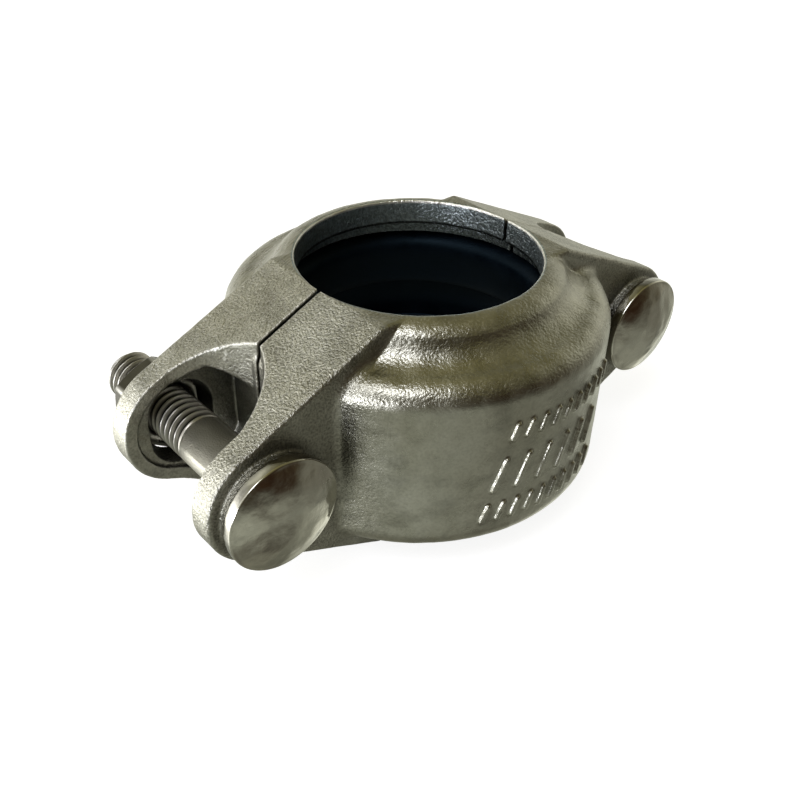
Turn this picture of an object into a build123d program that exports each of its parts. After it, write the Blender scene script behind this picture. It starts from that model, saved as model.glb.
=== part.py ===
"""Rigid grooved pipe coupling, 1 1/2 inch (DN 40), two bolts, cast stainless steel.

Frame: the origin is the centre of the lower pipe opening, +Z runs along the pipe, the two halves
part across Y = 0, and the bolts run along Y at the two ends of X with their heads towards -Y.
"""

from build123d import *
import os
from math import cos, pi, radians, sin, tan

# ---------------------------------------------------------------- driving dimensions (mm)
AXIAL_WIDTH = 47.0  # housing height along the pipe
KEY_R = 22.8  # the key that drops into the pipe's groove
KEY_WIDTH = 5.1
LAND_R = 25.3  # ring beside the key that rides on the pipe's outside
LAND_WIDTH = 3.0
BODY_R = 36.2  # straight outer wall
RIM_R = 23.4  # outer edge of the thin flat rim around the pipe opening
SPLIT_GAP = 0.7  # open line between the two halves
BOLT_X = 45.8  # bolt axis from the pipe axis
EAR_R = 11.5

BOLT_D = 9.525  # 3/8 inch
THREAD_PITCH = 1.5875  # 16 threads per inch
HEAD_D = 20.6
NUT_ACROSS_FLATS = 14.4
NUT_HEIGHT = 6.9

# ---------------------------------------------------------------- housing
MID_Z = AXIAL_WIDTH / 2
# Outline of the body from rim to wall, as radius and height above the middle.
NECK_MID = (25.4, MID_Z - 0.62)
NECK_END = (27.0, MID_Z - 2.0)
COVE_MID = (28.7, MID_Z - 4.4)
SHOULDER_START = (31.9, MID_Z - 6.0)
SHOULDER_MID = (35.0, MID_Z - 7.4)
WALL_HALF = 13.0  # half height of the straight outer wall
POCKET_R = 31.7  # gasket pocket
ARM_REACH = 22.6  # where the arms' level top ends and the slope to the ears begins
SPLIT_END = 35.4  # outer end of the contact between the halves
FRONT_FACE = 16.8  # front half: arm face and ear face, from the split plane
FRONT_EAR_INNER = 11.9
REAR_FACE = 15.1
REAR_EAR_INNER = 9.9
EAR_TURN = 47.5  # where the curve from the split meets the flat inner face of the ear
BEND_ALONG = 0.36  # midpoint of that curve, as shares of its length and height
BEND_RISE = 0.62
BOLT_CLEARANCE_R = 12.4  # round clearance beside the bolt, inside the arms
EDGE_BAND = 2.5  # arm material left around that clearance
CLEARANCE_STEP = 0.9  # how far the clearance sinks into the ear
FRONT_HOLE = (14.8, 11.6)  # length along the pipe and width; its sides stop the bolt turning
REAR_HOLE = (17.4, 13.0)  # looser, so the bolt can tilt while the halves are drawn together
REAR_HOLE_DRAFT = 12.0  # degrees; each rear hole narrows towards the nut, which covers its end
SEAT_R = 9.4
SEAT_HEIGHT = 2.0  # raised seat under each bolt head
CAST_EDGE = 0.8  # rounding on the arms' outside edges
BLEND_R = 2.0  # rounding where the arms meet the body
BLEND_FROM = 27.0  # the blend begins this far out along the arms
EAR_EDGE = 0.2  # rounding on the inner edges of the ears
REACH = 80.0  # longer than any cut needs

# ---------------------------------------------------------------- bolts, nuts, gasket
HEAD_SEAT = -(FRONT_FACE + SEAT_HEIGHT)
HEAD_EDGE = 2.3  # height of the head's straight edge, under the dome
HEAD_BREAK = 0.3  # the dome starts a little inside that edge
DOME_RISE = 2.2
DOME_R = HEAD_D / 2 - 0.5
NECK_LENGTH = 14.2  # oval neck under the head, long side along the pipe
NECK_HEIGHT = 3.6
BOLT_END = 31.2
THREAD_START = 3.5
THREAD_DEPTH = 0.95
THREAD_CREST = 0.25
THREAD_ROOT = 0.88 * THREAD_PITCH
THREAD_SINK = 0.1  # how far the ridge is rooted in the bolt
END_CHAMFER = 0.8
NUT_TURN = 25.5  # how far the nuts have been turned, degrees
NUT_BORE_R = BOLT_D / 2 + 0.06

GASKET_R = 31.45
GASKET_HALF = 15.05
GASKET_BACK = 3.9
GASKET_WALL = 4.4  # thickness of the side walls
LIP_R = 23.55  # the lips lean on the pipes
LIP_BEVEL_END = (LIP_R + 2.2, GASKET_HALF)
LIP_START = (LIP_R, GASKET_HALF - 1.6)
LIP_END = (LIP_R, GASKET_HALF - 3.6)
LIP_TOE = (LIP_R + 0.8, 4.2)
LIP_HEEL = (LIP_R + 1.9, 4.0)
LIP_ROOT = (LIP_R + 2.3, GASKET_HALF - GASKET_WALL)

# ---------------------------------------------------------------- cast marks
# Three rows of plain raised bars: height of the row, bar length, first angle, step angle, bars.
MARK_ROWS = (
    (30.8, 3.8, -104.5, 4.7, 10),
    (22.0, 7.4, -108.0, 7.4, 6),
    (13.9, 4.2, -111.5, 4.7, 10),
)
MARK_WIDTH = 1.0
MARK_HEIGHT = 0.6
MARK_LEAN = 20.0


def facing(side, x=0.0, distance=0.0):
    """A plane square to the bolts, on one side (+1 behind, -1 in front) of the split plane."""
    return Plane(origin=(x, side * distance, MID_Z), x_dir=(1, 0, 0), z_dir=(0, side, 0))


def arm_outline(band=0.0):
    """Seen along the bolts: the level middle and the two round ears under one taut outline."""
    Rectangle(2 * (ARM_REACH - band), AXIAL_WIDTH - 2 * band)
    with Locations((-BOLT_X, 0), (BOLT_X, 0)):
        Circle(EAR_R - band)
    make_hull()


def housing_half(side, face, ear_inner, hole, draft):
    """One cast half: arms with ears, round body, gasket pocket and key ribs."""
    with BuildPart() as half:
        with BuildSketch(facing(side)):
            arm_outline()
        extrude(amount=face)

        # The space between the ears opens in a curve from the outer end of the split.
        for end in (-1, 1):
            with BuildSketch(Plane.XY):
                with BuildLine():
                    split_corner = (end * SPLIT_END, 0)
                    ear_corner = (end * EAR_TURN, side * ear_inner)
                    bend_x = SPLIT_END + BEND_ALONG * (EAR_TURN - SPLIT_END)
                    bend = (end * bend_x, side * ear_inner * BEND_RISE)
                    ThreePointArc(split_corner, bend, ear_corner)
                    Polyline(
                        ear_corner,
                        (end * REACH, side * ear_inner),
                        (end * REACH, 0),
                        split_corner,
                    )
                make_face()
            extrude(amount=AXIAL_WIDTH, mode=Mode.SUBTRACT)
            with BuildSketch(facing(side)):
                arm_outline(EDGE_BAND)
                with Locations((end * BOLT_X, 0)):
                    Circle(BOLT_CLEARANCE_R, mode=Mode.INTERSECT)
            extrude(amount=ear_inner + CLEARANCE_STEP, mode=Mode.SUBTRACT)
        outer_face = half.faces().filter_by(Axis.Y).sort_by(Axis.Y)[-1 if side > 0 else 0]
        fillet(outer_face.outer_wire().edges(), CAST_EDGE)
        ear_edges = half.edges().filter_by(GeomType.CIRCLE).filter_by(
            lambda edge: abs(edge.radius - EAR_R) < 0.01
            and abs(abs(edge.center().Y) - ear_inner) < 0.01
        )
        fillet(ear_edges, EAR_EDGE)

        # Round body: rim, hollow neck, rounded shoulder and straight wall, the same at both ends.
        with BuildSketch(facing(-1)):
            with BuildLine():
                rim_edge = (RIM_R, MID_Z)
                Polyline((0, 0), (0, MID_Z), rim_edge)
                ThreePointArc(rim_edge, NECK_MID, NECK_END)
                ThreePointArc(NECK_END, COVE_MID, SHOULDER_START)
                ThreePointArc(SHOULDER_START, SHOULDER_MID, (BODY_R, WALL_HALF))
                Line((BODY_R, WALL_HALF), (BODY_R, 0))
                Line((BODY_R, 0), (0, 0))
            make_face()
            mirror(about=Plane.XZ)
        revolve(axis=Axis.Z)
        with BuildSketch(facing(side)):
            arm_outline()
        extrude(amount=REACH, both=True, mode=Mode.INTERSECT)
        split(bisect_by=facing(side, distance=SPLIT_GAP / 2), keep=Keep.TOP)
        # The arms blend into the straight wall and the shoulder; at the neck the corner stays sharp.
        on_arm_face = half.edges().filter_by(
            lambda edge: abs(abs(edge.center().Y) - face) < 0.01
            and BLEND_FROM < abs(edge.center().X) < BODY_R
        )
        upright = on_arm_face.filter_by(Axis.Z)
        shoulder_curves = on_arm_face.filter_by(GeomType.BSPLINE)
        fillet(upright + shoulder_curves, BLEND_R)

        # Inside: key, land and gasket pocket.
        with BuildSketch(facing(-1)):
            land_end = MID_Z - KEY_WIDTH
            pocket_end = land_end - LAND_WIDTH
            with BuildLine():
                Polyline(
                    (0, 0),
                    (0, MID_Z),
                    (KEY_R, MID_Z),
                    (KEY_R, land_end),
                    (LAND_R, land_end),
                    (LAND_R, pocket_end),
                    (POCKET_R, pocket_end),
                    (POCKET_R, 0),
                    close=True,
                )
            make_face()
            mirror(about=Plane.XZ)
        revolve(axis=Axis.Z, mode=Mode.SUBTRACT)

        if side < 0:
            for row_z, length, first, step, count in MARK_ROWS:
                for index in range(count):
                    turn = radians(first + index * step)
                    outward = (cos(turn), sin(turn), 0)
                    bar_plane = Plane(
                        origin=(BODY_R * cos(turn), BODY_R * sin(turn), row_z),
                        x_dir=(-sin(turn), cos(turn), 0),
                        z_dir=outward,
                    )
                    with BuildSketch(bar_plane.offset(-MARK_HEIGHT)):
                        SlotOverall(length, MARK_WIDTH, rotation=90 - MARK_LEAN)
                    extrude(amount=2 * MARK_HEIGHT)

        # Oval bolt holes; the front ears also carry raised seats for the bolt heads.
        if side < 0:
            with BuildSketch(facing(side, distance=face)):
                with Locations((-BOLT_X, 0), (BOLT_X, 0)):
                    Circle(SEAT_R)
            extrude(amount=SEAT_HEIGHT)
        for start, depth, taper in ((0, ear_inner, 0), (ear_inner, face + SEAT_HEIGHT - ear_inner, draft)):
            with BuildSketch(facing(side, distance=start)):
                with Locations((-BOLT_X, 0), (BOLT_X, 0)):
                    SlotOverall(*hole, rotation=90)
            extrude(amount=depth, taper=taper, mode=Mode.SUBTRACT)
    return half


front_housing = housing_half(-1, FRONT_FACE, FRONT_EAR_INNER, FRONT_HOLE, draft=0)
rear_housing = housing_half(1, REAR_FACE, REAR_EAR_INNER, REAR_HOLE, draft=REAR_HOLE_DRAFT)


bolt_axis = Axis((0, 0, MID_Z), (0, 1, 0))
root_r = BOLT_D / 2 - THREAD_DEPTH
head_top = HEAD_SEAT - HEAD_EDGE
dome_sphere_r = (DOME_R**2 + DOME_RISE**2) / (2 * DOME_RISE)

# The thread: one ridge wound around the root of the bolt.
thread_from = Vector(0, THREAD_START + THREAD_ROOT / 2 + THREAD_SINK, MID_Z)
thread_length = BOLT_END - END_CHAMFER - THREAD_ROOT - 2 * THREAD_SINK - THREAD_START
with BuildPart() as thread_ridge:
    with BuildLine() as winding:
        Helix(THREAD_PITCH, thread_length, root_r, center=thread_from, direction=(0, 1, 0))
    first = winding.line @ 0
    with BuildSketch(Plane(origin=first, x_dir=first - thread_from, z_dir=winding.line % 0)):
        with BuildLine():
            Polyline(
                (-THREAD_SINK, -THREAD_ROOT / 2),
                (THREAD_DEPTH, -THREAD_CREST / 2),
                (THREAD_DEPTH, THREAD_CREST / 2),
                (-THREAD_SINK, THREAD_ROOT / 2),
                close=True,
            )
        make_face()
    sweep(path=winding.line, is_frenet=True)

# Oval-neck track bolt: domed head, oval neck, plain shank and rolled thread.
with BuildPart() as track_bolt:
    with BuildSketch(Plane.XY.offset(MID_Z)):
        with BuildLine():
            RadiusArc((DOME_R, head_top), (0, head_top - DOME_RISE), dome_sphere_r)
            Polyline(
                (0, head_top - DOME_RISE),
                (0, BOLT_END),
                (root_r - END_CHAMFER / 2, BOLT_END),
                (root_r, BOLT_END - END_CHAMFER),
                (root_r, THREAD_START),
                (BOLT_D / 2, THREAD_START - THREAD_DEPTH),
                (BOLT_D / 2, HEAD_SEAT),
                (HEAD_D / 2, HEAD_SEAT),
                (HEAD_D / 2, head_top + HEAD_BREAK),
                (DOME_R, head_top),
            )
        make_face()
    revolve(axis=bolt_axis)
    with BuildSketch(facing(1, distance=HEAD_SEAT)):
        SlotOverall(NECK_LENGTH, BOLT_D, rotation=90)
    extrude(amount=NECK_HEIGHT)
    add(thread_ridge.part)

# Plain hexagon nut, bevelled at both ends, seated on the rear ear.
flat_r = NUT_ACROSS_FLATS / 2
corner_r = flat_r / cos(pi / 6)
bevel = (corner_r - flat_r) * tan(pi / 6)
with BuildPart() as hexagon_nut:
    with BuildSketch(facing(-1, distance=-REAR_FACE)):
        RegularPolygon(flat_r, 6, major_radius=False, rotation=NUT_TURN)
    extrude(amount=-NUT_HEIGHT)
    with BuildSketch(Plane((0, REAR_FACE, MID_Z))):
        with BuildLine():
            Polyline(
                (0, 0),
                (flat_r, 0),
                (corner_r, bevel),
                (corner_r, NUT_HEIGHT - bevel),
                (flat_r, NUT_HEIGHT),
                (0, NUT_HEIGHT),
                close=True,
            )
        make_face()
    revolve(axis=bolt_axis, mode=Mode.INTERSECT)
    with BuildSketch(facing(1, distance=REAR_FACE)):
        Circle(NUT_BORE_R)
    extrude(amount=NUT_HEIGHT, mode=Mode.SUBTRACT)


def placed(piece, x):
    """A copy of a fastener on the bolt axis at x."""
    with BuildPart() as copy:
        with Locations((x, 0, 0)):
            add(piece.part)
    return copy


left_bolt = placed(track_bolt, -BOLT_X)
right_bolt = placed(track_bolt, BOLT_X)
left_nut = placed(hexagon_nut, -BOLT_X)
right_nut = placed(hexagon_nut, BOLT_X)

with BuildPart() as gasket:
    with BuildSketch(facing(-1)):
        with BuildLine():
            Polyline(
                (GASKET_R, 0),
                (GASKET_R, GASKET_HALF),
                LIP_BEVEL_END,
                LIP_START,
                LIP_END,
                LIP_TOE,
                LIP_HEEL,
                LIP_ROOT,
                (GASKET_R - GASKET_BACK, GASKET_HALF - GASKET_WALL),
                (GASKET_R - GASKET_BACK, 0),
                close=True,
            )
        make_face()
        mirror(about=Plane.XZ)
    revolve(axis=Axis.Z)

os.makedirs("parts", exist_ok=True)
pieces = {
    "front_housing": front_housing,
    "rear_housing": rear_housing,
    "left_bolt": left_bolt,
    "right_bolt": right_bolt,
    "left_nut": left_nut,
    "right_nut": right_nut,
    "gasket": gasket,
}
for name, piece in pieces.items():
    piece.part.label = name
    export_step(piece.part, f"parts/{name}.step")
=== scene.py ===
"""Studio picture of a grooved pipe coupling in cast stainless steel, built round its CAD frame."""

from math import cos, pi, radians, sin, sqrt, tan

import bpy
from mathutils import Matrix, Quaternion, Vector


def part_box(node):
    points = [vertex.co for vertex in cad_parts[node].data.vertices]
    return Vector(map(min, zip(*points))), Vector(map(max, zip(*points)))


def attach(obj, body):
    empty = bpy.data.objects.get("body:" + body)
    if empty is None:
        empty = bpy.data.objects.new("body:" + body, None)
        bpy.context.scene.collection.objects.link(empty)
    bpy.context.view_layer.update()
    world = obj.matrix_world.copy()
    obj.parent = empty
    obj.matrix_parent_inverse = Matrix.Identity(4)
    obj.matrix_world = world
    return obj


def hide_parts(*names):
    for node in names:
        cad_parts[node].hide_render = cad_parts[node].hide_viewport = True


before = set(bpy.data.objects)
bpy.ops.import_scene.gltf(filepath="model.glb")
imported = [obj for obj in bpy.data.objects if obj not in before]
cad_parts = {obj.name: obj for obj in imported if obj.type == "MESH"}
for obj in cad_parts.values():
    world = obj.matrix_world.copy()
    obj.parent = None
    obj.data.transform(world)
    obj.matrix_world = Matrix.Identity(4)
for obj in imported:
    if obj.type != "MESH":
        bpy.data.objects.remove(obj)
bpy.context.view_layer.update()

MM = 0.001

# ---------------------------------------------------------------- sizes read from the frame
BOLT_LOW, BOLT_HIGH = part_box("right_bolt")
NUT_LOW, NUT_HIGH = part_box("right_nut")
GASKET_LOW, GASKET_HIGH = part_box("gasket")
BOLT_X = (BOLT_LOW.x + BOLT_HIGH.x) / 2
MID_Z = (BOLT_LOW.z + BOLT_HIGH.z) / 2
HEAD_R = (BOLT_HIGH.x - BOLT_LOW.x) / 2
GASKET_R = GASKET_HIGH.x
GASKET_HALF = (GASKET_HIGH.z - GASKET_LOW.z) / 2

# ---------------------------------------------------------------- fastener sizes
SHANK_R = 4.76 * MM
PITCH = 1.5875 * MM
THREAD_DEPTH = 0.92 * MM
HEAD_EDGE = 2.3 * MM
DOME_RISE = 2.2 * MM
HEAD_ROUND = 0.35 * MM
NECK_HALF_LENGTH = 7.1 * MM
NECK_HEIGHT = 3.6 * MM
THREAD_START_Y = 3.5 * MM
TIP_BEVEL = 1.0 * MM
NUT_FLAT_R = 7.2 * MM
NUT_BORE_R = 4.84 * MM
NUT_TURN = radians(25.5)
ROUND_STEPS = 120  # corners round a bolt
THREAD_ROWS = 16  # rows of corners per turn of thread
LIP_R = 23.55 * MM
DOME_ROWS = 24  # rows of corners from the middle of a bolt's head to its edge
CORNER_ROWS = 4
NECK_BEVEL = 0.3 * MM
CREST_SHARE = 0.10  # flat on the top of each thread, as a share of half a turn
FLANK_SHARE = 0.66  # from there down to the root
RUN_OUT = 0.8 * PITCH  # length over which the thread grows to its full depth
TIP_SINK = 1.1 * THREAD_DEPTH  # how far the tip's bevel ends below the crests
NUT_BEVEL_ROWS = 6
NUT_CORNER_CUT = 0.12 * MM
NUT_FOOT = 0.15 * MM  # small bevel on the nut's seating face
NUT_MOUTH = 0.6 * MM
GASKET_STEPS = 128

# ---------------------------------------------------------------- zones of the castings
ARM_SCALE = 60 * MM
ARM_FADE = ((0.42, 0.0), (0.56, 1.0))  # shares of ARM_SCALE over which the arms' finish fades in
ARM_TOP_FALL = 0.53  # the arms' top faces lie above a line that falls by this share of the reach
ARM_TOP_LEVEL = 57.5 * MM
ARM_TOP_REACH = 21.5 * MM
BORE_R = 33 * MM  # surfaces inside this radius that face the pipe's axis are the bore
BORE_FACING = -2 * MM
KEY_SHADOW = ((0.755, 0.75), (0.775, 0.08), (0.802, 0.08), (0.815, 1.0))  # shares of MID_Z
NECK_Z = 38 * MM
RIM_Z = 46.4 * MM
RIM_R = 23.05 * MM
TOP_EDGE_REACH = 24 * MM  # edges painted bright, a highlight on partly worn metal, start here on the top, and at EAR_REACH below it
EAR_REACH = 38 * MM

# ---------------------------------------------------------------- colours
CAST_DARK = (0.50, 0.485, 0.41)
CAST_LIGHT = (0.62, 0.61, 0.545)
# painted highlight on edges and the rim, partly worn bare metal
CAST_WEAR_AND_GLINT = (0.88, 0.87, 0.82)
# the bore's steel, tinted bluish-grey as a painted reflection of the room above
BORE_REFLECTION_TINT = (0.47, 0.53, 0.55)
FORGED = (0.62, 0.60, 0.53)
# painted highlight on the fasteners' edges, partly worn bare metal
FORGED_WEAR_AND_GLINT = (0.85, 0.83, 0.78)
# painted shade on the side of a bolt's head
HEAD_SIDE_SHADE = (0.05, 0.045, 0.035)
SHANK_SHARE = (0.80, 0.80, 0.78)
THREAD_SHARE = (0.74, 0.74, 0.76)
# painted shade: the nut's steel is made near black, as the nut sits in shadow behind the housing
NUT_SHADE_COLOUR = (0.06, 0.056, 0.042)
RUBBER_DARK = (0.001, 0.0025, 0.005)
RUBBER_BLOOM = (0.004, 0.007, 0.012)
ROOM_SHADOW = (0.03, 0.014, 0.007)


# ---------------------------------------------------------------- meshes
def mesh_from_rings(name, rings, wrap=False):
    """A closed skin over rings of points: ends capped, or joined end to end with wrap."""
    count = len(rings[0])
    points = [point for ring in rings for point in ring]
    faces = []
    pairs = len(rings) if wrap else len(rings) - 1
    for row in range(pairs):
        near = row * count
        far = (row + 1) % len(rings) * count
        for i in range(count):
            j = (i + 1) % count
            faces.append((near + i, far + i, far + j, near + j))
    if not wrap:
        faces.append(tuple(range(count)))
        faces.append(tuple(reversed(range(len(points) - count, len(points)))))
    mesh = bpy.data.meshes.new(name)
    mesh.from_pydata(points, [], faces)
    mesh.validate()
    mesh.update()
    for polygon in mesh.polygons:
        polygon.use_smooth = True
    made = bpy.data.objects.new(name, mesh)
    bpy.context.scene.collection.objects.link(made)
    return made


def ring_across(centre_x, y, radius_at):
    """A ring square to a bolt: radius_at gives the radius at each angle."""
    ring = []
    for i in range(ROUND_STEPS):
        angle = 2 * pi * i / ROUND_STEPS
        radius = radius_at(angle)
        ring.append((centre_x + radius * cos(angle), y, MID_Z + radius * sin(angle)))
    return ring


def neck_radius(angle):
    """Radius of the oval neck: two half rounds joined by flats, longer along the pipe."""
    offset = NECK_HALF_LENGTH - SHANK_R
    across, along = abs(cos(angle)), abs(sin(angle))
    if SHANK_R * along <= offset * across:
        return SHANK_R / across
    return offset * along + sqrt(SHANK_R**2 - (offset * across) ** 2)


def thread_radius(angle, y, depth):
    """Radius of a right-hand thread, with flat crests and rounded roots."""
    turn = (y / PITCH + angle / (2 * pi)) % 1.0
    away = abs(turn - 0.5) * 2
    groove = min(1.0, max(0.0, (1 - away - CREST_SHARE) / FLANK_SHARE))
    groove = groove * groove * (3 - 2 * groove) * 0.5 + groove * 0.5
    return SHANK_R - depth * groove


def bolt_mesh(name, centre_x):
    """Oval-neck track bolt, head towards -Y, as one closed skin."""
    top_y = BOLT_LOW.y
    rim_y = top_y + DOME_RISE
    seat_y = rim_y + HEAD_EDGE
    dome_r = HEAD_R - HEAD_ROUND
    ball_r = (dome_r**2 + DOME_RISE**2) / (2 * DOME_RISE)
    rows = []
    for step in range(1, DOME_ROWS + 1):
        radius = dome_r * step / DOME_ROWS
        rows.append((top_y + ball_r - sqrt(ball_r**2 - radius**2), radius))
    for step in range(1, CORNER_ROWS + 1):
        turn = pi / 2 * step / CORNER_ROWS
        rows.append((rim_y + HEAD_ROUND * (1 - cos(turn)), dome_r + HEAD_ROUND * sin(turn)))
    rows.append((seat_y - HEAD_ROUND, HEAD_R))
    rows.append((seat_y - HEAD_ROUND * 0.3, HEAD_R - HEAD_ROUND * 0.3))
    rows.append((seat_y, HEAD_R - HEAD_ROUND))
    rings = [ring_across(centre_x, y, lambda angle, r=radius: r) for y, radius in rows]
    rings.append(ring_across(centre_x, seat_y, neck_radius))
    neck_y = seat_y + NECK_HEIGHT
    rings.append(ring_across(centre_x, neck_y - NECK_BEVEL, neck_radius))
    rings.append(ring_across(centre_x, neck_y, lambda angle: neck_radius(angle) * 0.95))
    rings.append(ring_across(centre_x, neck_y + 0.02 * MM, lambda angle: SHANK_R))
    end_y = BOLT_HIGH.y
    rows_of_thread = int((end_y - THREAD_START_Y) / PITCH * THREAD_ROWS)
    for row in range(rows_of_thread + 1):
        y = THREAD_START_Y + (end_y - THREAD_START_Y) * row / rows_of_thread
        depth = THREAD_DEPTH * min(1.0, (y - THREAD_START_Y) / RUN_OUT)
        tip_limit = SHANK_R - TIP_SINK + (end_y - y) * tan(radians(45))

        def radius_at(angle, y=y, depth=depth, tip_limit=tip_limit):
            return min(thread_radius(angle, y, depth), tip_limit)

        rings.append(ring_across(centre_x, y, radius_at))
    made = mesh_from_rings(name, rings)
    grooves = made.data.attributes.new("groove", "FLOAT", "POINT")
    for point, mark in zip(made.data.vertices, grooves.data):
        if THREAD_START_Y < point.co.y < end_y - TIP_BEVEL:
            out = sqrt((point.co.x - centre_x) ** 2 + (point.co.z - MID_Z) ** 2)
            mark.value = min(1.0, max(0.0, (SHANK_R - out) / THREAD_DEPTH))
    return made


def nut_mesh(name, centre_x):
    """Plain hexagon nut with bevelled ends and bore, as one closed skin."""
    height = NUT_HIGH.y - NUT_LOW.y
    corner_r = NUT_FLAT_R / cos(pi / 6)
    bevel = (corner_r - NUT_FLAT_R) * tan(pi / 6)

    def outside(depth):
        limit = NUT_FLAT_R + depth / tan(pi / 6)

        def radius_at(angle):
            sector = (angle - NUT_TURN) % (pi / 3) - pi / 6
            hexagon = NUT_FLAT_R / cos(sector)
            return min(hexagon, limit, corner_r - NUT_CORNER_CUT)

        return radius_at

    rings = [ring_across(centre_x, NUT_LOW.y, outside(bevel * 0.8))]
    rings.append(ring_across(centre_x, NUT_LOW.y + NUT_FOOT, outside(bevel)))
    for step in range(NUT_BEVEL_ROWS, -1, -1):
        depth = bevel * step / NUT_BEVEL_ROWS
        rings.append(ring_across(centre_x, NUT_LOW.y + height - depth, outside(depth)))
    for y, radius in (
        (NUT_HIGH.y, NUT_BORE_R + NUT_MOUTH),
        (NUT_HIGH.y - NUT_MOUTH, NUT_BORE_R),
        (NUT_LOW.y + NUT_MOUTH, NUT_BORE_R),
        (NUT_LOW.y, NUT_BORE_R + NUT_MOUTH),
    ):
        rings.append(ring_across(centre_x, y, lambda angle, r=radius: r))
    return mesh_from_rings(name, rings, wrap=True)


def gasket_mesh(name):
    """Sealing ring: thick back, side walls and two lips that lean on the pipes."""
    half = GASKET_HALF
    upper = (
        (GASKET_R, 0),
        (GASKET_R, half * 0.55),
        (GASKET_R, half - 1.2 * MM),
        (GASKET_R - 0.25 * MM, half - 0.25 * MM),
        (GASKET_R - 1.2 * MM, half),
        (LIP_R + 4.5 * MM, half),
        (LIP_R + 2.6 * MM, half),
        (LIP_R + 1.2 * MM, half - 0.5 * MM),
        (LIP_R + 0.2 * MM, half - 1.5 * MM),
        (LIP_R, half - 2.4 * MM),
        (LIP_R, half - 3.6 * MM),
        (LIP_R + 0.4 * MM, half - 6.5 * MM),
        (LIP_R + 0.75 * MM, 4.4 * MM),
        (LIP_R + 1.2 * MM, 4.0 * MM),
        (LIP_R + 1.8 * MM, 4.3 * MM),
        (LIP_R + 2.1 * MM, half - 6.0 * MM),
        (LIP_R + 2.6 * MM, half - 4.6 * MM),
        (LIP_R + 3.6 * MM, half - 4.6 * MM),
        (GASKET_R - 3.9 * MM, half - 5.4 * MM),
        (GASKET_R - 3.9 * MM, 0),
    )
    lower = [(radius, -height) for radius, height in reversed(upper[1:-1])]
    rings = []
    for radius, height in list(upper) + lower:
        ring = []
        for i in range(GASKET_STEPS):
            angle = 2 * pi * i / GASKET_STEPS
            ring.append((radius * cos(angle), radius * sin(angle), MID_Z + height))
        rings.append(ring)
    made = mesh_from_rings(name, rings, wrap=True)
    smooth = made.modifiers.new("round", "SUBSURF")
    smooth.levels = smooth.render_levels = 2
    return made


# ---------------------------------------------------------------- materials
def new_material(name):
    """An empty node material with its Principled shader, tree and object coordinates."""
    material = bpy.data.materials.new(name)
    material.use_nodes = True
    tree = material.node_tree
    shader = tree.nodes["Principled BSDF"]
    coords = tree.nodes.new("ShaderNodeTexCoord").outputs["Object"]
    return material, tree, shader, coords


def noise(tree, coords, feature, detail=2.0, stretch=None, turn=0.0):
    """Smooth noise with features of about the given size in metres, as a 0..1 value.

    stretch draws the features out along the axes, turned about Z.
    """
    texture = tree.nodes.new("ShaderNodeTexNoise")
    texture.inputs["Scale"].default_value = 1 / feature
    texture.inputs["Detail"].default_value = detail
    if stretch:
        mapping = tree.nodes.new("ShaderNodeMapping")
        mapping.vector_type = "TEXTURE"
        mapping.inputs["Scale"].default_value = stretch
        mapping.inputs["Rotation"].default_value = (0, 0, turn)
        tree.links.new(coords, mapping.inputs["Vector"])
        coords = mapping.outputs["Vector"]
    tree.links.new(coords, texture.inputs["Vector"])
    return texture.outputs["Fac"]


def ramp(tree, value, stops):
    """Maps a value through (position, colour) stops."""
    node = tree.nodes.new("ShaderNodeValToRGB")
    elements = node.color_ramp.elements
    while len(elements) < len(stops):
        elements.new(0.5)
    for element, (position, colour) in zip(elements, stops):
        element.position = position
        element.color = (*colour, 1) if isinstance(colour, tuple) else (colour,) * 3 + (1,)
    tree.links.new(value, node.inputs["Fac"])
    return node.outputs["Color"]


def times(tree, a, b):
    """One value times another."""
    return combine(tree, "MULTIPLY", a, b)


def put(tree, socket, value):
    """Feeds a socket from another socket or a plain value."""
    if isinstance(value, bpy.types.NodeSocket):
        tree.links.new(value, socket)
    else:
        socket.default_value = value


def combine(tree, kind, a, b=0.0):
    """Arithmetic on one or two values."""
    node = tree.nodes.new("ShaderNodeMath")
    node.operation = kind
    put(tree, node.inputs[0], a)
    put(tree, node.inputs[1], b)
    return node.outputs["Value"]


def mix(tree, share, a, b, blend="MIX"):
    """Blends two colours."""
    node = tree.nodes.new("ShaderNodeMix")
    node.data_type = "RGBA"
    node.blend_type = blend
    put(tree, node.inputs[0], share)
    for socket, value in ((node.inputs[6], a), (node.inputs[7], b)):
        if isinstance(value, bpy.types.NodeSocket):
            tree.links.new(value, socket)
        else:
            socket.default_value = (*value, 1)
    return node.outputs[2]


def bump(tree, height, distance, strength=1.0, normal=None):
    """A bump layer of the given height in metres on top of an earlier one."""
    node = tree.nodes.new("ShaderNodeBump")
    put(tree, node.inputs["Strength"], strength)
    node.inputs["Distance"].default_value = distance
    tree.links.new(height, node.inputs["Height"])
    if normal:
        tree.links.new(normal, node.inputs["Normal"])
    return node.outputs["Normal"]


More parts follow.
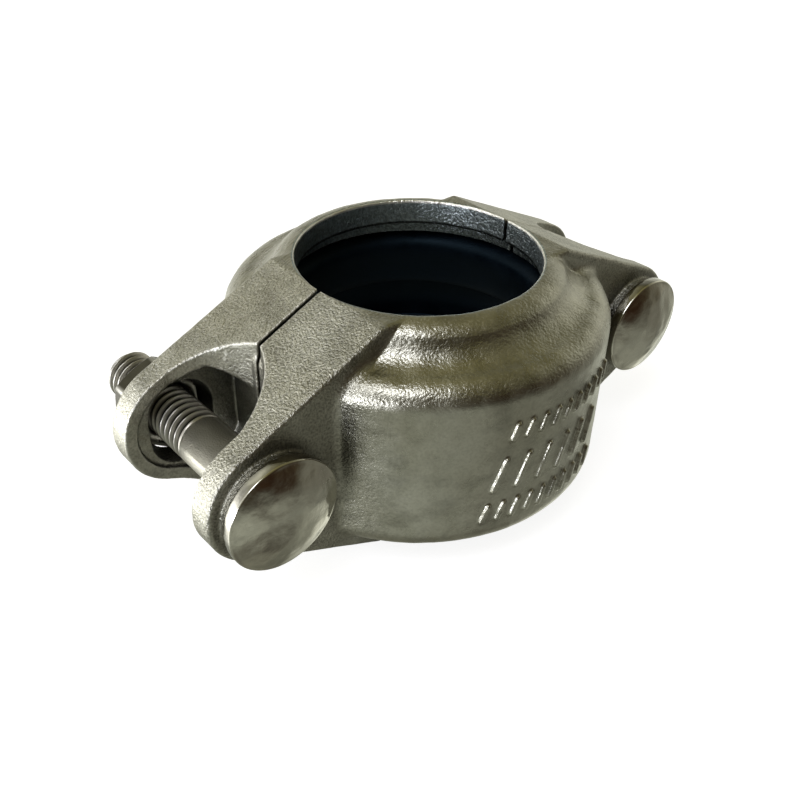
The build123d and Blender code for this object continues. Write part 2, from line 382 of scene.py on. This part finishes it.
def cast_steel(name, ground):
    """Blasted cast stainless steel: orange-peel grain, soft tone changes, edges painted bright as
    a highlight on partly worn metal, painted shade in recesses, and a bore tinted as a painted
    reflection.
    """
    material, tree, shader, coords = new_material(name)
    place = tree.nodes.new("ShaderNodeSeparateXYZ")
    tree.links.new(coords, place.inputs[0])
    geometry = tree.nodes.new("ShaderNodeNewGeometry")
    facing = tree.nodes.new("ShaderNodeSeparateXYZ")
    tree.links.new(geometry.outputs["Normal"], facing.inputs[0])
    x, y, height = place.outputs["X"], place.outputs["Y"], place.outputs["Z"]

    # Where the arms are, by their reach from the pipe's axis.
    reach = combine(tree, "ABSOLUTE", x)
    on_arm = ramp(tree, times(tree, reach, 1 / ARM_SCALE), ARM_FADE)
    slope = combine(tree, "ADD", times(tree, reach, ARM_TOP_FALL), height)
    arm_top = combine(tree, "GREATER_THAN", slope, ARM_TOP_LEVEL)
    arm_top = times(tree, arm_top, combine(tree, "GREATER_THAN", reach, ARM_TOP_REACH))
    on_arm = combine(tree, "MAXIMUM", on_arm, arm_top)

    # The bore: near the axis and facing it, its steel tinted bluish-grey as a painted reflection.
    # A painted shadow line shows under each key.
    towards_x, towards_y = times(tree, x, facing.outputs["X"]), times(tree, y, facing.outputs["Y"])
    outward = combine(tree, "ADD", towards_x, towards_y)
    radius = combine(tree, "SQRT", combine(tree, "ADD", times(tree, x, x), times(tree, y, y)))
    near = combine(tree, "LESS_THAN", radius, BORE_R)
    inside = times(tree, combine(tree, "LESS_THAN", outward, BORE_FACING), near)
    outside = combine(tree, "SUBTRACT", 1.0, inside)
    from_middle = combine(tree, "ABSOLUTE", combine(tree, "SUBTRACT", height, MID_Z))
    under_key = ramp(tree, times(tree, from_middle, 1 / MID_Z), KEY_SHADOW)

    # Upper faces, and the rim and edges painted bright: a highlight on partly worn bare metal.
    up = ramp(tree, facing.outputs["Z"], ((0.35, 0.0), (0.75, 1.0)))
    rim_wear_and_glint = combine(tree, "GREATER_THAN", height, RIM_Z)
    rim_wear_and_glint = times(tree, rim_wear_and_glint, combine(tree, "LESS_THAN", radius, RIM_R))
    on_top = combine(tree, "GREATER_THAN", height, NECK_Z)
    top_edges = times(tree, on_top, combine(tree, "GREATER_THAN", reach, TOP_EDGE_REACH))
    ear_edges = combine(tree, "GREATER_THAN", reach, EAR_REACH)
    edges_show = combine(tree, "MAXIMUM", ear_edges, top_edges)

    broad = noise(tree, coords, 14 * MM, 3)
    patch = noise(tree, coords, 3.5 * MM, 3)
    grain = noise(tree, coords, 0.52 * MM, 2)
    sand = noise(tree, coords, 0.42 * MM, 3)
    fine = noise(tree, coords, 0.22 * MM, 2)
    recess = tree.nodes.new("ShaderNodeAmbientOcclusion")
    recess.samples = 4
    recess.inputs["Distance"].default_value = 9 * MM
    tone = mix(tree, ramp(tree, broad, ((0.32, 0.0), (0.68, 1.0))), CAST_DARK, CAST_LIGHT)
    tone = mix(tree, 0.4, tone, ramp(tree, patch, ((0.3, 0.6), (0.72, 1.0))), "MULTIPLY")
    stain = noise(tree, coords, 7 * MM, 6, stretch=(1.0, 1.0, 0.5), turn=radians(30))
    tone = mix(tree, 1.0, tone, ramp(tree, stain, ((0.50, 1.0), (0.68, 0.78))), "MULTIPLY")
    speckle = combine(tree, "ADD", times(tree, on_arm, 0.3 if ground else 0.5), 0.18)
    spots = mix(tree, on_arm, grain, sand)
    tone = mix(tree, speckle, tone, ramp(tree, spots, ((0.32, 0.3), (0.6, 1.0))), "MULTIPLY")
    bore_grain = ramp(tree, grain, ((0.35, 0.3), (0.62, 1.0)))
    bore_tone = mix(tree, 0.5, BORE_REFLECTION_TINT, bore_grain, "MULTIPLY")
    bore_tone = mix(tree, 1.0, bore_tone, under_key, "MULTIPLY")
    shade = ramp(tree, recess.outputs["AO"], ((0.25, 0.25), (0.75, 1.0)))
    bore_tone = mix(tree, 1.0, bore_tone, shade, "MULTIPLY")
    tone = mix(tree, inside, tone, bore_tone)
    # Painted shade: outer surfaces are darkened in recesses and between parts, by ambient
    # occlusion.
    recess_shade = ramp(tree, recess.outputs["AO"], ((0.2, 0.10), (0.8, 1.0)))
    tone = mix(tree, outside, tone, recess_shade, "MULTIPLY")
    # Painted highlight: the rim and open edges are painted bright, partly as worn bare metal, and
    # kept off edges that ambient occlusion finds shut in.
    wear_and_glint = ramp(tree, geometry.outputs["Pointiness"], ((0.515, 0.0), (0.56, 1.0)))
    open_to_light = ramp(tree, recess.outputs["AO"], ((0.68, 0.0), (0.90, 1.0)))
    wear_and_glint = times(tree, times(tree, wear_and_glint, edges_show), open_to_light)
    wear_and_glint = combine(tree, "MAXIMUM", wear_and_glint, rim_wear_and_glint)
    tone = mix(tree, wear_and_glint, tone, CAST_WEAR_AND_GLINT)
    tree.links.new(tone, shader.inputs["Base Color"])
    shader.inputs["Metallic"].default_value = 1.0
    rough = ramp(tree, patch, ((0.3, 0.24), (0.7, 0.36)))
    rough = mix(tree, on_arm, rough, (0.38, 0.38, 0.38))
    rough = mix(tree, inside, rough, (0.36, 0.36, 0.36))
    tree.links.new(rough, shader.inputs["Roughness"])
    normal = bump(tree, broad, 0.5 * MM, 0.5)
    normal = bump(tree, patch, 0.16 * MM, 0.5, normal)
    level = combine(tree, "ADD", times(tree, up, 0.45), 0.55)
    arm_grain = times(tree, on_arm, level)
    neck_grain = times(tree, on_top, 0.5 if ground else 0.3)
    grainy = combine(tree, "MAXIMUM", neck_grain, times(tree, inside, 0.75))
    grainy = times(tree, grainy, combine(tree, "SUBTRACT", 1.0, on_arm))
    grainy = combine(tree, "ADD", times(tree, grainy, 0.8), 0.1)
    normal = bump(tree, grain, (0.28 if ground else 0.38) * MM, grainy, normal)
    normal = bump(tree, sand, (0.24 if ground else 0.32) * MM, arm_grain, normal)
    if ground:
        lines = noise(tree, coords, 0.40 * MM, 2, stretch=(9.0, 1.0, 4.0), turn=radians(22))
        normal = bump(tree, lines, 0.30 * MM, up, normal)
    normal = bump(tree, fine, 0.03 * MM, 0.6, normal)
    tree.links.new(normal, shader.inputs["Normal"])
    return material


def smooth_steel(name, colour, shine, wave, head_below=None):
    """Forged stainless steel with soft waves, small dents and faint smudges; edges painted bright
    as a highlight on partly worn metal, thread roots and the head's side painted dark as shade.

    Below head_below, along Y, the steel is the polished head; above it is the duller shank.
    """
    material, tree, shader, coords = new_material(name)
    place = tree.nodes.new("ShaderNodeSeparateXYZ")
    tree.links.new(coords, place.inputs[0])
    head = 1.0
    if head_below is not None:
        head = combine(tree, "LESS_THAN", place.outputs["Y"], head_below)
    broad = noise(tree, coords, 6.5 * MM, 1)
    dents = noise(tree, coords, 2.2 * MM, 2)
    smudge = noise(tree, coords, 1.6 * MM, 4)
    fine = noise(tree, coords, 0.3 * MM, 2)
    worn = tuple(channel * 0.72 for channel in colour)
    tone = mix(tree, ramp(tree, smudge, ((0.35, 0.0), (0.75, 0.35))), colour, worn)
    geometry = tree.nodes.new("ShaderNodeNewGeometry")
    # Painted highlight: edges are painted bright, partly as worn bare metal.
    wear_and_glint = ramp(tree, geometry.outputs["Pointiness"], ((0.52, 0.0), (0.6, 0.8)))
    tone = mix(tree, wear_and_glint, tone, FORGED_WEAR_AND_GLINT)
    # Painted shade in the thread roots, darker the deeper they lie.
    depth = tree.nodes.new("ShaderNodeAttribute")
    depth.attribute_name = "groove"
    root_shade = ramp(tree, depth.outputs["Fac"], ((0.35, 1.0), (0.85, 0.04)))
    tone = mix(tree, 1.0, tone, root_shade, "MULTIPLY")
    if head_below is not None:
        on_thread = combine(tree, "GREATER_THAN", place.outputs["Y"], THREAD_START_Y)
        duller = mix(tree, on_thread, SHANK_SHARE, THREAD_SHARE)
        tone = mix(tree, head, mix(tree, 1.0, tone, duller, "MULTIPLY"), tone)
        # Painted shade: the side of the head is darkened halfway towards near black.
        band_start = head_below - HEAD_EDGE + HEAD_ROUND
        side_shade = combine(tree, "GREATER_THAN", place.outputs["Y"], band_start)
        side_shade = times(tree, side_shade, head)
        tone = mix(tree, times(tree, side_shade, 0.5), tone, HEAD_SIDE_SHADE)
    tree.links.new(tone, shader.inputs["Base Color"])
    shader.inputs["Metallic"].default_value = 1.0
    rough = ramp(tree, smudge, ((0.3, shine[0]), (0.7, shine[1])))
    if head_below is not None:
        shank_rough = mix(tree, on_thread, (0.42, 0.42, 0.42), (0.36, 0.36, 0.36))
        rough = mix(tree, head, shank_rough, rough)
    tree.links.new(rough, shader.inputs["Roughness"])
    normal = bump(tree, broad, wave, times(tree, head, 0.8))
    normal = bump(tree, dents, wave * 0.15, times(tree, head, 0.5), normal)
    if head_below is not None:
        on_shank = times(tree, combine(tree, "SUBTRACT", 1.0, head), 0.9)
        on_shank = times(tree, on_shank, combine(tree, "SUBTRACT", 1.0, on_thread))
        normal = bump(tree, fine, 0.10 * MM, on_shank, normal)
    normal = bump(tree, fine, 0.012 * MM, 0.5, normal)
    tree.links.new(normal, shader.inputs["Normal"])
    return material


def moulded_rubber(name):
    """Black moulded rubber with a faint bloom."""
    material, tree, shader, coords = new_material(name)
    bloom = noise(tree, coords, 5 * MM, 4)
    grain = noise(tree, coords, 0.3 * MM, 2)
    tone = mix(tree, ramp(tree, bloom, ((0.4, 0.0), (0.75, 1.0))), RUBBER_DARK, RUBBER_BLOOM)
    tree.links.new(tone, shader.inputs["Base Color"])
    tree.links.new(ramp(tree, bloom, ((0.3, 0.42), (0.7, 0.58))), shader.inputs["Roughness"])
    shader.inputs["Specular IOR Level"].default_value = 0.17
    shader.inputs["Specular Tint"].default_value = (0.45, 0.75, 1.0, 1)
    normal = bump(tree, grain, 0.02 * MM, 0.5)
    tree.links.new(normal, shader.inputs["Normal"])
    return material


def dress(piece, material):
    """Gives a piece one material."""
    piece.data.materials.clear()
    piece.data.materials.append(material)


# ---------------------------------------------------------------- housings
VOXEL = 0.24 * MM


def cast_surface(piece):
    """Rounds the corners of a CAD casting and gives it the slight unevenness of a casting."""
    weld = piece.modifiers.new("weld", "WELD")
    weld.merge_threshold = 0.002 * MM
    remesh = piece.modifiers.new("even_mesh", "REMESH")
    remesh.mode = "VOXEL"
    remesh.voxel_size = VOXEL
    remesh.use_smooth_shade = True
    soften = piece.modifiers.new("soften", "SMOOTH")
    soften.factor = 0.5
    soften.iterations = 5
    uneven = bpy.data.textures.new("casting_waves", "CLOUDS")
    uneven.noise_scale = 5 * MM
    displace = piece.modifiers.new("uneven", "DISPLACE")
    displace.texture = uneven
    displace.texture_coords = "LOCAL"
    displace.strength = 0.16 * MM
    displace.mid_level = 0.5


dress(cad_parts["front_housing"], cast_steel("cast_front", ground=False))
dress(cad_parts["rear_housing"], cast_steel("cast_rear", ground=True))
cast_surface(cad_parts["front_housing"])
cast_surface(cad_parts["rear_housing"])

# ---------------------------------------------------------------- fasteners and gasket
seat_y = BOLT_LOW.y + DOME_RISE + HEAD_EDGE
bolt_steel = smooth_steel("bolt_steel", FORGED, (0.08, 0.17), 1.1 * MM, seat_y)
# The nut's steel is painted near black as shade.
nut_steel = smooth_steel("nut_steel", NUT_SHADE_COLOUR, (0.26, 0.38), 0.10 * MM)
for side, centre_x in (("left", -BOLT_X), ("right", BOLT_X)):
    bolt = bolt_mesh(f"{side}_track_bolt", centre_x)
    dress(bolt, bolt_steel)
    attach(bolt, f"{side}_bolt")
    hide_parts(f"{side}_bolt")
    nut = nut_mesh(f"{side}_hexagon_nut", centre_x)
    dress(nut, nut_steel)
    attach(nut, f"{side}_nut")
    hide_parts(f"{side}_nut")

sealing_ring = gasket_mesh("sealing_ring")
dress(sealing_ring, moulded_rubber("moulded_rubber"))
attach(sealing_ring, "seal")
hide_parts("gasket")


# ---------------------------------------------------------------- room, light and camera
FLOOR_HALF = 1.5
FLOOR_DROP = 0.05 * MM
FLOOR_GREY = (0.45, 0.45, 0.46, 1)
FLOOR_GLOW = 0.86
LENS = 41.62
SENSOR = 36.0
CAMERA_AT = (-103.89 * MM, -112.78 * MM, 123.89 * MM)
CAMERA_AIM = (41.62, -35.79)  # compass angle from +Y towards +X, and height angle
CAMERA_ROLL = 1.52

# Brightness of the room by height, from straight down to straight up.
SURROUND = (
    (0.00, (0.22, 0.22, 0.17)),
    (0.20, (0.48, 0.50, 0.42)),
    (0.36, (0.38, 0.39, 0.32)),
    (0.50, (0.12, 0.11, 0.07)),
    (0.72, (0.11, 0.105, 0.06)),
    (0.93, (0.21, 0.19, 0.085)),
    (1.00, (0.25, 0.225, 0.10)),
)
# Soft patches of the room: compass angle from +Y towards +X, height angle, tightness, colour.
LIGHT_PATCHES = (
    (-49, -8, 13, (6.2, 6.2, 6.1)),
    (-74, 16, 5, (0.80, 0.80, 0.78)),
    (-104, 3, 80, (15.5, 15.9, 17.2)),
    (-109, 58, 60, (9.0, 9.2, 10)),
    (-2, -10, 8, (0.95, 0.95, 0.90)),
    (-8, 40, 16, (0.85, 0.86, 0.76)),
    (48, -4, 9, (0.68, 0.69, 0.63)),
    (92, 9, 9, (0.62, 0.62, 0.54)),
    (80, -48, 40, (0.8, 0.8, 0.7)),
)
DARK_PATCHES = (
    (165, 1, 7, 0.98),
    (118, -22, 10, 0.60),
    (166, -54, 24, 0.66),
    (-155, 33, 26, 0.72),
    (-156, -8, 55, 0.80),
    (158, 58, 40, 0.35),
)


def towards(compass, height):
    """Unit vector for a compass angle (from +Y towards +X) and a height angle, in degrees."""
    turn, lift = radians(compass), radians(height)
    return Vector((sin(turn) * cos(lift), cos(turn) * cos(lift), sin(lift)))


def build_world():
    """White behind the object; a grey room with soft windows in reflections."""
    world = bpy.data.worlds.new("room")
    bpy.context.scene.world = world
    world.use_nodes = True
    tree = world.node_tree
    tree.nodes.clear()
    direction = tree.nodes.new("ShaderNodeTexCoord").outputs["Generated"]
    parts = tree.nodes.new("ShaderNodeSeparateXYZ")
    tree.links.new(direction, parts.inputs[0])
    upward = times(tree, combine(tree, "ADD", parts.outputs["Z"], 1.0), 0.5)
    colour = ramp(tree, upward, SURROUND)

    def lobe(compass, height, tightness):
        dot = tree.nodes.new("ShaderNodeVectorMath")
        dot.operation = "DOT_PRODUCT"
        tree.links.new(direction, dot.inputs[0])
        dot.inputs[1].default_value = towards(compass, height)
        ahead = combine(tree, "MAXIMUM", dot.outputs["Value"], 0.0)
        return combine(tree, "POWER", ahead, tightness)

    for compass, height, tightness, brightness in LIGHT_PATCHES:
        glow = ramp(tree, lobe(compass, height, tightness), ((0, 0.0), (1, 1.0)))
        patch = mix(tree, 1.0, brightness, glow, "MULTIPLY")
        colour = mix(tree, 1.0, colour, patch, "ADD")
    for compass, height, tightness, share in DARK_PATCHES:
        cover = times(tree, lobe(compass, height, tightness), share)
        colour = mix(tree, cover, colour, ROOM_SHADOW)
    clutter = noise(tree, direction, 0.45, 3)
    colour = mix(tree, 1.0, colour, ramp(tree, clutter, ((0.3, 0.6), (0.7, 1.3))), "MULTIPLY")
    room = tree.nodes.new("ShaderNodeBackground")
    tree.links.new(colour, room.inputs["Color"])
    white = tree.nodes.new("ShaderNodeBackground")
    white.inputs["Color"].default_value = (1, 1, 1, 1)
    seen = tree.nodes.new("ShaderNodeLightPath").outputs["Is Camera Ray"]
    choose = tree.nodes.new("ShaderNodeMixShader")
    tree.links.new(seen, choose.inputs["Fac"])
    tree.links.new(room.outputs[0], choose.inputs[1])
    tree.links.new(white.outputs[0], choose.inputs[2])
    output = tree.nodes.new("ShaderNodeOutputWorld")
    tree.links.new(choose.outputs[0], output.inputs["Surface"])


def build_floor():
    """Plain pale floor, left out of the metal's reflections."""
    corners = [(-FLOOR_HALF, -FLOOR_HALF, 0), (FLOOR_HALF, -FLOOR_HALF, 0)]
    corners += [(FLOOR_HALF, FLOOR_HALF, 0), (-FLOOR_HALF, FLOOR_HALF, 0)]
    mesh = bpy.data.meshes.new("floor")
    mesh.from_pydata(corners, [], [(0, 1, 2, 3)])
    floor = bpy.data.objects.new("floor", mesh)
    bpy.context.scene.collection.objects.link(floor)
    material, _, shader, _ = new_material("pale_floor")
    shader.inputs["Base Color"].default_value = FLOOR_GREY
    shader.inputs["Roughness"].default_value = 0.9
    shader.inputs["Specular IOR Level"].default_value = 0.0
    shader.inputs["Emission Color"].default_value = (1, 1, 1, 1)
    shader.inputs["Emission Strength"].default_value = FLOOR_GLOW
    dress(floor, material)
    floor.location.z = -FLOOR_DROP
    floor.visible_glossy = False
    floor.visible_diffuse = False


def build_camera():
    """Camera at the front left, looking down at the coupling."""
    camera = bpy.data.cameras.new("camera")
    camera.lens = LENS
    camera.sensor_width = SENSOR
    camera.clip_start = 0.01
    holder = bpy.data.objects.new("camera", camera)
    holder.location = CAMERA_AT
    holder.rotation_mode = "QUATERNION"
    roll = Quaternion((0, 0, 1), radians(CAMERA_ROLL))
    holder.rotation_quaternion = towards(*CAMERA_AIM).to_track_quat("-Z", "Y") @ roll
    bpy.context.scene.collection.objects.link(holder)
    bpy.context.scene.camera = holder


build_world()
build_floor()
build_camera()
bpy.context.scene.view_settings.view_transform = "Standard"
